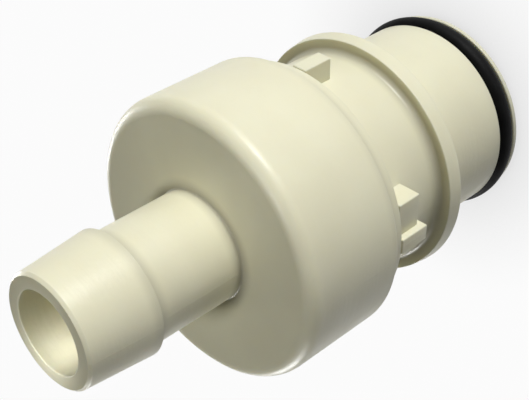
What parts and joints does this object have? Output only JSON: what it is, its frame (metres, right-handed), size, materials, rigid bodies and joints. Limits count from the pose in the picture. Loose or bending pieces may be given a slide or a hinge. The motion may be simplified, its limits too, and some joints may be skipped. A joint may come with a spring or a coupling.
{
  "type": "plastic quick disconnect coupling",
  "caption": "Valved insert half of a plastic quick disconnect coupling, with a hose barb, latch neck, O-ring nose and spring poppet.",
  "frame": {"origin": "centre of the nose end face, on which the part stands", "axes": "+Z along the flow axis from the nose end to the hose barb, +X towards the key block on the neck"},
  "size_m": [0.035, 0.035, 0.0641],
  "materials": {
    "ivory_plastic": "fine moulded, slightly satin",
    "valve_plastic": "fine moulded, slightly satin",
    "black_rubber": "smooth moulded",
    "spring_steel": "drawn wire"
  },
  "bodies": {
    "coupling": {"hose_barb_housing": "ivory_plastic", "insert_nose": "ivory_plastic", "nose_o_ring": "black_rubber", "housing_seal": "black_rubber"},
    "poppet": {"valve_poppet": "valve_plastic", "poppet_seal": "black_rubber", "valve_spring": "spring_steel"}
  },
  "joints": [
    {"name": "valve_slide", "type": "slide", "parent": "coupling", "child": "poppet", "axis": [0, 0, 1], "range_m": [0, 0.005], "stiffness_N_per_m": 1100, "springref_m": -0.005, "deforming": ["valve_spring"]}
  ]
}
